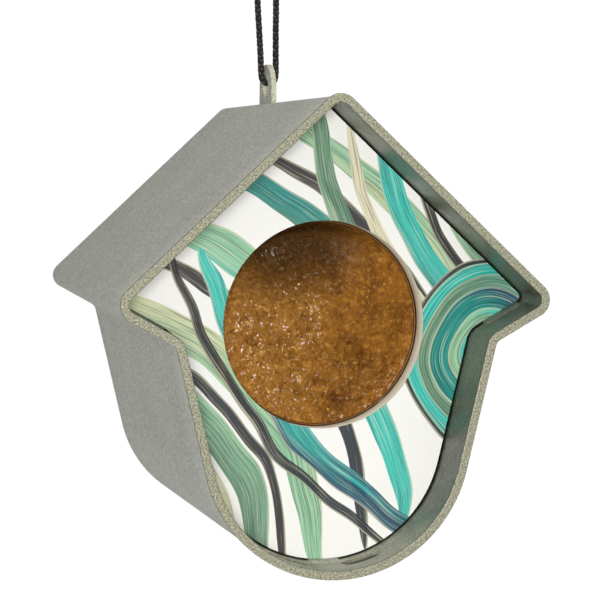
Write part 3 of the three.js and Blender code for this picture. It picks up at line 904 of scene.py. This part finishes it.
def pierced_plate(name, outline, hole, place, near, far):
    """A flat plate with a hole: place(u, v, w) is where a point of an outline lies, with w near or far."""
    work = bmesh.new()
    edges = []
    for loop in (outline, hole):
        verts = [work.verts.new((u, v, 0)) for u, v in loop]
        edges += [work.edges.new(pair) for pair in zip(verts, verts[1:] + verts[:1])]
    work.verts.index_update()
    filled = bmesh.ops.triangle_fill(work, edges=edges, use_beauty=True)["geom"]
    filled = [item for item in filled if isinstance(item, bmesh.types.BMFace)]
    faces = sorted([vert.index for vert in face.verts] for face in filled)
    work.free()
    flat = [*outline, *hole]
    count = len(flat)
    points = [place(u, v, w) for w in (near, far) for u, v in flat]
    faces += [[count + index for index in face] for face in faces]
    for start, loop in ((0, outline), (len(outline), hole)):
        ring = list(range(start, start + len(loop)))
        faces += [[a, b, count + b, count + a] for a, b in zip(ring, ring[1:] + ring[:1])]
    return closed_mesh(name, points, faces)


def eased(mesh, width):
    """A mesh with its sharp edges broken by a small round."""
    made = new_object(mesh.name, mesh)
    ease_edges = made.modifiers.new("ease", "BEVEL")
    ease_edges.width = width
    ease_edges.segments = 2
    ease_edges.limit_method = "ANGLE"
    ease_edges.angle_limit = math.radians(50)
    result = evaluated(made, mesh.name + "_eased")
    bpy.data.objects.remove(made)
    return result


def circle(radius, height, steps):
    """Points of a circle at a height, in the plane of the house's front or side."""
    angles = [2 * math.pi * step / steps for step in range(steps)]
    return [(radius * math.cos(angle), height + radius * math.sin(angle)) for angle in angles]


def hanger_eye():
    """The eye's plate, with a round top and a hole, on a wedge-shaped foot that lies under the roof."""
    def foot_top(x, y):
        return roof_underside(x, y, EYE_FOOT_GAP)

    top_steps, hole_steps = 28, 36
    plate_low = foot_top(EYE_FOOT_HALF_WIDTH, EYE_SETBACK) - EYE_FOOT_THICKNESS + 1
    outline = [(-EYE_HALF_WIDTH, plate_low)]
    for step in range(top_steps + 1):
        angle = math.pi * (1 - step / top_steps)
        outline.append((EYE_HALF_WIDTH * math.cos(angle), EYE_HEIGHT + EYE_HALF_WIDTH * math.sin(angle)))
    outline.append((EYE_HALF_WIDTH, plate_low))
    plate = pierced_plate(
        "eye_plate", outline, circle(EYE_HOLE_RADIUS, EYE_HEIGHT, hole_steps),
        lambda y, z, x: (x, EYE_SETBACK + y, z), -EYE_HALF_THICKNESS, EYE_HALF_THICKNESS,
    )
    rings = []
    wide, flat = EYE_FOOT_HALF_WIDTH, EYE_FOOT_HALF_FLAT
    for y in (EYE_SETBACK - EYE_FOOT_HALF_LENGTH, EYE_SETBACK + EYE_FOOT_HALF_LENGTH):
        crest, edge = foot_top(flat, y), foot_top(wide, y)
        low = edge - EYE_FOOT_THICKNESS
        section = [(flat, crest), (-flat, crest), (-wide, edge), (-wide, low), (wide, low), (wide, edge)]
        rings.append([(x, y, z) for x, z in section])
    work = bmesh.new()
    for part in (eased(plate, EYE_EDGE_ROUND), closed_mesh("eye_foot", *lofted(rings))):
        work.from_mesh(part)
    mesh = bpy.data.meshes.new("hanger_eye")
    work.to_mesh(mesh)
    work.free()
    return placed("hanger_eye_dressed", mesh, 20)


def panel_plate(name, front, back, edge_round):
    """A plate of the panel's outline with the round hole through it."""
    outline = house_outline(WALL + PANEL_GAP + INNER_DRAFT * BOARD_BACK).tolist()
    hole = circle(HOLE_RADIUS, HOLE_HEIGHT, ROUND_STEPS)
    mesh = pierced_plate(name, outline, hole, lambda x, z, y: (x, y, z), front, back)
    if edge_round:
        mesh = eased(mesh, edge_round)
    return placed(name, mesh, 35)


# Pot and food

def turned(name, profile, steps):
    """A closed body turned round the pot's axis, from a profile of radius and y that ends on the axis."""
    points = [(x, y, z) for radius, y in profile for x, z in circle(radius, HOLE_HEIGHT, steps)]
    return closed_mesh(name, points, quads(len(profile), steps))


def base_profile(radius, end, corner):
    """From the middle of a pot's base, which is pushed up, out and round its corner to the side."""
    middle = end - JAR_PUSH_UP
    profile = [(0, middle), (radius - 3.2 * corner, middle), (radius - 2.2 * corner, end - 1.6)]
    for step in range(9):
        angle = math.pi / 2 * (1 - step / 8)
        out, back = corner * math.cos(angle), corner * math.sin(angle)
        profile.append((radius - corner + out, end - corner + back))
    return profile


def food_jar():
    """The pot, whose wall swells to a bead and thins to a fine lip at the mouth."""
    outside = base_profile(JAR_RADIUS, JAR_END, 4.0)
    inside = base_profile(JAR_RADIUS - JAR_WALL, JAR_END - JAR_WALL, 3.0)
    bead = [(JAR_RADIUS, JAR_NECK_END), (JAR_BEAD_RADIUS, JAR_LIP_END)]
    neck = [(JAR_BEAD_RADIUS - JAR_LIP_THICKNESS, JAR_LIP_END), (JAR_RADIUS - JAR_WALL, JAR_NECK_END)]
    lip = []
    for step in range(9):
        angle = math.pi * step / 8
        radius = JAR_BEAD_RADIUS - JAR_LIP_THICKNESS / 2 * (1 - math.cos(angle))
        lip.append((radius, JAR_MOUTH + JAR_LIP_THICKNESS / 2 * (1 - math.sin(angle))))
    mesh = turned("food_jar", [*outside, *bead, *lip, *neck, *inside[::-1]], ROUND_STEPS)
    return placed("food_jar_dressed", mesh, 40)


def disc_point(a, b):
    """A point of the square from -1 to 1 moved onto the round disc inside it."""
    if abs(a) > abs(b):
        radius, angle = a, math.pi / 4 * b / a
    elif b:
        radius, angle = b, math.pi / 2 - math.pi / 4 * a / b
    else:
        radius, angle = 0.0, 0.0
    return radius * math.cos(angle), radius * math.sin(angle)


def food_height(x, z):
    """How far the food stands out at a point of its face, coarser on the left and low down."""
    at = Vector((x, z, 0.0))
    bent = at + 2.2 * noise.noise_vector(at / 4)
    left, low, high = ease(-x, -12, 14), ease(-z, -14, 20), ease(z, 4, 16)
    lumps = noise.fractal(bent / 7, 0.9, 2.1, 3) * (0.3 + 1.3 * low)
    near, beside = noise.voronoi(bent / 2.6)[0][:2]
    spread = 0.4 + 0.6 * noise.noise(at / 6 + Vector((7, 3, 1)))
    crumbs = min(beside - near, 0.45) * spread * (0.5 + 0.6 * left + 0.7 * low)
    hollow = max(0.0, noise.fractal(bent / 8 + Vector((2, 5, 8)), 0.8, 2.2, 3) - 0.2) * 4 * low
    grit = noise.noise(bent / 1.1 + Vector((1, 9, 4))) * (0.14 + 0.22 * left * (1 + high))
    return lumps + crumbs - hollow + grit


def food_face_point(x, z):
    """A point of the food's face, scooped out at the upper left and smeared up the wall of the pot."""
    reach = math.hypot(x, z) / FOOD_RADIUS
    smear = 1 - ease(reach, 0.9, 1.0)
    (middle_x, middle_z), (reach_x, reach_z) = SCOOP_MIDDLE, SCOOP_REACH
    hollow = math.exp(-((x - middle_x) / reach_x) ** 2 - ((z - middle_z) / reach_z) ** 2)
    scoop = FOOD_SCOOP * hollow * smear
    creep = 0.7 * ease(reach, 0.95, 1.0)
    y = FOOD_FACE + 0.5 + scoop - creep - food_height(x, z) * (1 - 0.8 * reach ** 8)
    return (x, max(y, JAR_MOUTH + 0.15), HOLE_HEIGHT + z)


def peanut_butter():
    """The food, as a round grid of its face with the sides and the base behind it; the face also alone."""
    noise.seed_set(FOOD_SEED)
    cells = 200
    points = []
    for row in range(cells + 1):
        for column in range(cells + 1):
            x, z = disc_point(2 * column / cells - 1, 2 * row / cells - 1)
            points.append(food_face_point(FOOD_RADIUS * x, FOOD_RADIUS * z))
    faces = []
    for row in range(cells):
        for column in range(cells):
            first = row * (cells + 1) + column
            faces.append([first, first + 1, first + cells + 2, first + cells + 1])
    face_count = len(faces)
    last = cells * (cells + 1)
    edge = [*range(cells), *range(cells, last + cells, cells + 1)]
    edge += [*range(last + cells, last, -1), *range(last, 0, -cells - 1)]
    turns = [math.atan2(points[index][2] - HOLE_HEIGHT, points[index][0]) for index in edge]
    side = [(FOOD_RADIUS, JAR_LIP_END)]
    side += [(FOOD_SIDE_RADIUS, y) for y in (JAR_NECK_END, 60, 100, 140)]
    side += base_profile(FOOD_SIDE_RADIUS, JAR_END - JAR_WALL - 2 * FOOD_GAP, 2.8)[::-1]
    for radius, y in side:
        start = len(points)
        points += [(radius * math.cos(turn), y, HOLE_HEIGHT + radius * math.sin(turn)) for turn in turns]
        ring = list(range(start, len(points)))
        for index in range(len(edge)):
            faces.append([edge[index], edge[index - 1], ring[index - 1], ring[index]])
        edge = ring
    face_only = bpy.data.meshes.new("food_face")
    face_only.from_pydata(points, [], faces[:face_count])
    mesh = closed_mesh("peanut_butter", points, faces)
    in_place(face_only)
    return placed("peanut_butter_dressed", mesh, 80), face_only


# Cord and nut bits

def node_group(name, sockets):
    """A new geometry node tree with named inputs, and the values of those inputs by name."""
    tree = bpy.data.node_groups.new(name, "GeometryNodeTree")
    nodes = Nodes(tree)
    for label, kind in (("Geometry", "NodeSocketGeometry"), *sockets):
        tree.interface.new_socket(label, in_out="INPUT", socket_type=kind)
    tree.interface.new_socket("Geometry", in_out="OUTPUT", socket_type="NodeSocketGeometry")
    entry = nodes.add("NodeGroupInput").socket.node
    return nodes, {socket.name: Value(nodes, socket) for socket in entry.outputs if socket.name}


def finish_group(nodes, geometry, material):
    """Ends a tree with real geometry in its material."""
    real = nodes.add("GeometryNodeRealizeInstances", inputs={0: geometry})
    clad = nodes.add("GeometryNodeSetMaterial", inputs={"Geometry": real, "Material": material})
    nodes.add("NodeGroupOutput", inputs={0: clad})
    return nodes.tree


def grown_by(tree, made, name, settings):
    """The mesh that a geometry node tree makes of an object, with the tree's inputs set by identifier."""
    modifier = made.modifiers.new(tree.name, "NODES")
    modifier.node_group = tree
    for item in tree.interface.items_tree:
        if item.item_type == "SOCKET" and item.in_out == "INPUT" and item.name in settings:
            modifier[item.identifier] = settings[item.name]
    made.update_tag()
    mesh = evaluated(made, name)
    made.modifiers.clear()
    return mesh


def braid_tree():
    """Braids a round cord along each curve: strands wind both ways and pass over and under each other."""
    nodes, given = node_group("braid", (
        ("Strands each way", "NodeSocketInt"),
        ("Turn length", "NodeSocketFloat"),
        ("Cord diameter", "NodeSocketFloat"),
        ("Strand thickness", "NodeSocketFloat"),
        ("Step", "NodeSocketFloat"),
        ("Material", "NodeSocketMaterial"),
    ))
    strands, thickness = given["Strands each way"], given["Strand thickness"]
    diameter = given["Cord diameter"]
    path = nodes.add("GeometryNodeResampleCurve", {"mode": "LENGTH"}, {
        "Curve": given["Geometry"], "Length": given["Step"],
    })
    copies = nodes.add("GeometryNodeDuplicateElements", {"domain": "SPLINE"}, {
        "Geometry": path, "Amount": strands * 2,
    })
    index = nodes.other(copies, 1)
    way = 1 - 2 * index.maths("MODULO", 2.0)
    run = nodes.add("GeometryNodeSplineParameter", output="Length")
    start = (index / 2).maths("FLOOR") / strands * (2 * math.pi)
    angle = way * run / given["Turn length"] * (2 * math.pi) + start
    wave = thickness * 0.14
    over_under = way * (angle * strands).maths("COSINE")
    radius = diameter / 2 - thickness / 2 - wave + wave * over_under
    normal = nodes.add("GeometryNodeInputNormal")
    beside = nodes.vectors("CROSS_PRODUCT", nodes.add("GeometryNodeInputTangent"), normal)
    out = nodes.vectors("SCALE", normal, radius * angle.maths("COSINE"))
    over = nodes.vectors("SCALE", beside, radius * angle.maths("SINE"))
    crest = nodes.add("GeometryNodeStoreNamedAttribute", {"data_type": "FLOAT", "domain": "POINT"}, {
        "Geometry": copies, "Name": "crest", "Value": 0.5 + 0.5 * over_under,
    })
    wound = nodes.add("GeometryNodeSetPosition", inputs={
        "Geometry": crest, "Offset": nodes.vectors("ADD", out, over),
    })
    tubes = []
    for curve, sides, tube_radius in ((wound, 6, thickness / 2), (path, 10, diameter * 0.34)):
        section = nodes.add("GeometryNodeCurvePrimitiveCircle", inputs={
            "Resolution": sides, "Radius": tube_radius,
        })
        tubes.append(nodes.add("GeometryNodeCurveToMesh", inputs={
            "Curve": curve, "Profile Curve": section, "Fill Caps": True,
        }))
    cord = nodes.add("GeometryNodeJoinGeometry", inputs={0: tubes})
    smooth = nodes.add("GeometryNodeSetShadeSmooth", inputs={0: cord})
    return finish_group(nodes, smooth, given["Material"])


def scatter_tree():
    """Scatters small rough bits over a face, each turned, sized and shaded at random."""
    nodes, given = node_group("scatter", (
        ("Density", "NodeSocketFloat"),
        ("Smallest", "NodeSocketFloat"),
        ("Largest", "NodeSocketFloat"),
        ("Seed", "NodeSocketInt"),
        ("Material", "NodeSocketMaterial"),
    ))
    spots = nodes.add("GeometryNodeDistributePointsOnFaces", inputs={
        "Mesh": given["Geometry"], "Density": given["Density"], "Seed": given["Seed"],
    })
    bit = nodes.add("GeometryNodeMeshIcoSphere", inputs={"Radius": 1.0, "Subdivisions": 1})
    bulge = nodes.add("ShaderNodeTexNoise", inputs={"Scale": 1.6, "Detail": 1.0})
    shift = nodes.vectors("SCALE", nodes.add("GeometryNodeInputPosition"), (bulge - 0.5) * 2.2)
    bit = nodes.add("GeometryNodeSetPosition", inputs={"Geometry": bit, "Offset": shift})
    bit = nodes.add("GeometryNodeSetShadeSmooth", inputs={0: bit})
    turn = nodes.add("FunctionNodeRandomValue", {"data_type": "FLOAT_VECTOR"}, {
        "Min": (0, 0, 0), "Max": (6.28, 6.28, 6.28), "Seed": 3,
    })
    size = nodes.add("FunctionNodeRandomValue", {"data_type": "FLOAT"}, {
        2: given["Smallest"], 3: given["Largest"], "Seed": 5,
    }, 1)
    bits = nodes.add("GeometryNodeInstanceOnPoints", inputs={
        "Points": spots, "Instance": bit, "Rotation": turn, "Scale": size,
    })
    pick = nodes.add("FunctionNodeRandomValue", {"data_type": "FLOAT"}, {2: 0.0, 3: 1.0, "Seed": 8}, 1)
    marked = nodes.add("GeometryNodeStoreNamedAttribute", {"data_type": "FLOAT", "domain": "INSTANCE"}, {
        "Geometry": bits, "Name": "pick", "Value": pick,
    })
    return finish_group(nodes, marked, given["Material"])


def smooth_route(points, steps):
    """Centripetal Catmull-Rom curve through points."""
    points = [Vector(point) for point in points]
    padded = [points[0] * 2 - points[1], *points, points[-1] * 2 - points[-2]]
    route = []
    for p0, p1, p2, p3 in zip(padded, padded[1:], padded[2:], padded[3:]):
        t1 = math.sqrt((p1 - p0).length)
        t2 = t1 + math.sqrt((p2 - p1).length)
        t3 = t2 + math.sqrt((p3 - p2).length)
        for step in range(steps):
            t = t1 + (t2 - t1) * step / steps
            a1 = p0.lerp(p1, t / t1)
            a2 = p1.lerp(p2, (t - t1) / (t2 - t1))
            a3 = p2.lerp(p3, (t - t2) / (t3 - t2))
            b1 = a1.lerp(a2, t / t2)
            b2 = a2.lerp(a3, (t - t1) / (t3 - t1))
            route.append(b1.lerp(b2, (t - t1) / (t2 - t1)))
    return [*route, points[-1]]


def path_object(name, routes):
    """A curve of straight runs between the points of each route."""
    data = bpy.data.curves.new(name, "CURVE")
    data.dimensions = "3D"
    for route in routes:
        spline = data.splines.new("POLY")
        spline.points.add(len(route) - 1)
        for point, place in zip(spline.points, route):
            point.co = (*place, 1.0)
    return new_object(name, data)


def braided(name, routes, tree, material):
    """A piece of braided cord along routes."""
    path = path_object(name + "_path", routes)
    mesh = grown_by(tree, path, name, {
        "Strands each way": 4, "Turn length": 13.0 * MM, "Cord diameter": BRAID_DIAMETER * MM,
        "Strand thickness": 0.84 * MM, "Step": 0.3 * MM, "Material": material,
    })
    bpy.data.objects.remove(path)
    return new_object(name, mesh)


def knot_routes():
    """The knot: both ends of the cord run up through three tight turns and stand out at the top."""
    turns, steps = 2.7, 160
    tucked_radius, coil_radius, coil_foot, coil_height = 2.1, 3.1, 2.15, 5.7
    coil = []
    for step in range(steps + 1):
        t = step / steps
        out = min(1.0, 14 * min(t, 1 - t))
        radius = tucked_radius + (coil_radius - tucked_radius) * out
        angle = 2 * math.pi * turns * t
        x, y = radius * math.cos(angle), radius * math.sin(angle)
        coil.append(Vector((x, y, coil_foot + coil_height * t)) * MM)
    tails = []
    for side in (-1, 1):
        marks = (
            (side * 1.3, 0, 0.75), (side * 1.1, 0, 3), (side * 1.1, 0, 8),
            (side * 1.25, 0.2, 12), (side * 1.35, side * 0.1, 16.7),
        )
        tails.append(smooth_route([Vector(mark) * MM for mark in marks], 12))
    return [coil, *tails]


def make_cord(material):
    """The loop of cord through the eye, and the knot that closes it."""
    tree = braid_tree()
    route = smooth_route([Vector((x, 0, z)) * MM for x, z in CORD_ROUTE], 16)
    loop = braided("cord_loop_braid", [route], tree, material)
    knot = braided("cord_knot_braid", knot_routes(), tree, material)
    dress(loop, material, "cord", "cord", "cord_loop")
    dress(knot, material, "cord", "cord", "cord_knot")
    length = sum((b - a).length for a, b in zip(route, route[1:]))


# Camera and studio

def make_camera():
    """The photograph's viewpoint, found in the house's own frame."""
    yaw, pitch, roll = math.radians(-15.92), math.radians(4.06), math.radians(0.40)
    target, distance = Vector((-14.71, 0, 99.95)) * MM, 975 * MM
    film_width, focal_length = 36.0, 166.74
    back = Vector((math.sin(yaw) * math.cos(pitch), -math.cos(yaw) * math.cos(pitch), math.sin(pitch)))
    right = Vector((math.cos(yaw), math.sin(yaw), 0))
    up = back.cross(right)
    tilted_right = right * math.cos(roll) + up * math.sin(roll)
    tilted_up = up * math.cos(roll) - right * math.sin(roll)
    turn = Matrix((tilted_right, tilted_up, back)).transposed().to_4x4()
    data = bpy.data.cameras.new("camera")
    data.sensor_width = film_width
    data.lens = focal_length
    camera = new_object("camera", data)
    camera.matrix_world = HOUSE @ Matrix.Translation(target + back * distance) @ turn
    bpy.context.scene.camera = camera


def soft_light(name, toward, distance, size, power, color):
    """A round soft light at a distance from the feeder's middle, in the direction given."""
    data = bpy.data.lights.new(name, "AREA")
    data.shape = "DISK"
    data.size = size
    data.energy = power
    data.color = color
    light = new_object(name, data)
    way = Vector(toward).normalized()
    light.location = FEEDER_MIDDLE + way * distance
    light.rotation_euler = way.to_track_quat("Z", "Y").to_euler()


def make_lights():
    """Four soft lights, and a white surround that lights the feeder gently."""
    soft_light("key_light", (-0.26, -0.965, 0.0), 1.5, 0.6, 15.9, WARM)
    soft_light("top_light", (-0.25, -0.30, 0.917), 1.0, 0.6, 3.5, WARM)
    soft_light("low_light", (-0.6, 0.1, -0.79), 1.0, 0.6, 3.9, COOL)
    soft_light("back_light", (0.72, 0.62, 0.32), 1.2, 0.8, 6.0, COOL)
    world = bpy.data.worlds.new("studio")
    world.use_nodes = True
    bpy.context.scene.world = world
    nodes = Nodes(world.node_tree)
    seen = nodes.add("ShaderNodeLightPath", output="Is Camera Ray")
    glow = nodes.add("ShaderNodeBackground", inputs={"Color": (1, 1, 1, 1), "Strength": 0.35 + 0.67 * seen})
    nodes.add("ShaderNodeOutputWorld", inputs={0: glow})
    bpy.context.scene.view_settings.view_transform = "Standard"


def make_floor():
    """A pale floor far below the feeder, which glows a little for the camera alone."""
    work = bmesh.new()
    bmesh.ops.create_circle(work, cap_ends=True, radius=FLOOR_RADIUS, segments=128)
    bmesh.ops.translate(work, verts=work.verts, vec=(0, 0, FLOOR_HEIGHT))
    mesh = bpy.data.meshes.new("floor")
    work.to_mesh(mesh)
    work.free()
    floor = new_object("floor", mesh)
    pale = Finish("pale_floor", Emission_Strength=1.0)
    tint = pale.noise(pale.object_point(), 3.0, 3)
    pale.set("Base Color", pale.mix(tint, linear(236, 236, 234), linear(245, 245, 243)))
    pale.set("Roughness", 0.6 + 0.2 * tint)
    seen = pale.add("ShaderNodeLightPath", output="Is Camera Ray")
    pale.set("Emission Color", pale.mix(seen, (0, 0, 0, 1), (0.45, 0.45, 0.45, 1)))
    floor.data.materials.append(pale.material)


def main():
    make_camera()
    make_cord(black_braid())
    dress(house_shell(), flecked_plastic("flecked_plastic", True), "house", "shell_plastic", "house_shell")
    dress(hanger_eye(), flecked_plastic("eye_plastic", False), "house", "eye_plastic", "hanger_eye")
    board = panel_plate("front_panel_dressed", BOARD_FACE, BOARD_BACK, BOARD_EDGE_ROUND)
    dress(board, fibre_board(), "panel", "panel_board", "front_panel")
    sheet = panel_plate("panel_print_dressed", PANEL_SETBACK, PRINT_BACK, 0)
    dress(sheet, ribbon_print(), "panel", "printed_sheet", "panel_print")
    dress(food_jar(), clear_plastic(), "jar", "clear_plastic", "food_jar")
    food, face = peanut_butter()
    dress(food, peanut_butter_finish(), "jar", "food", "peanut_butter")
    nut = nut_finish()
    base = new_object("food_face", face)
    bits = new_object("nut_bits", grown_by(scatter_tree(), base, "nut_bits", {
        "Density": 75000.0, "Smallest": 0.22 * MM, "Largest": 0.72 * MM, "Seed": 11, "Material": nut,
    }))
    bpy.data.objects.remove(base)
    dress(bits, nut, "jar", "food")
    make_lights()
    make_floor()


main()
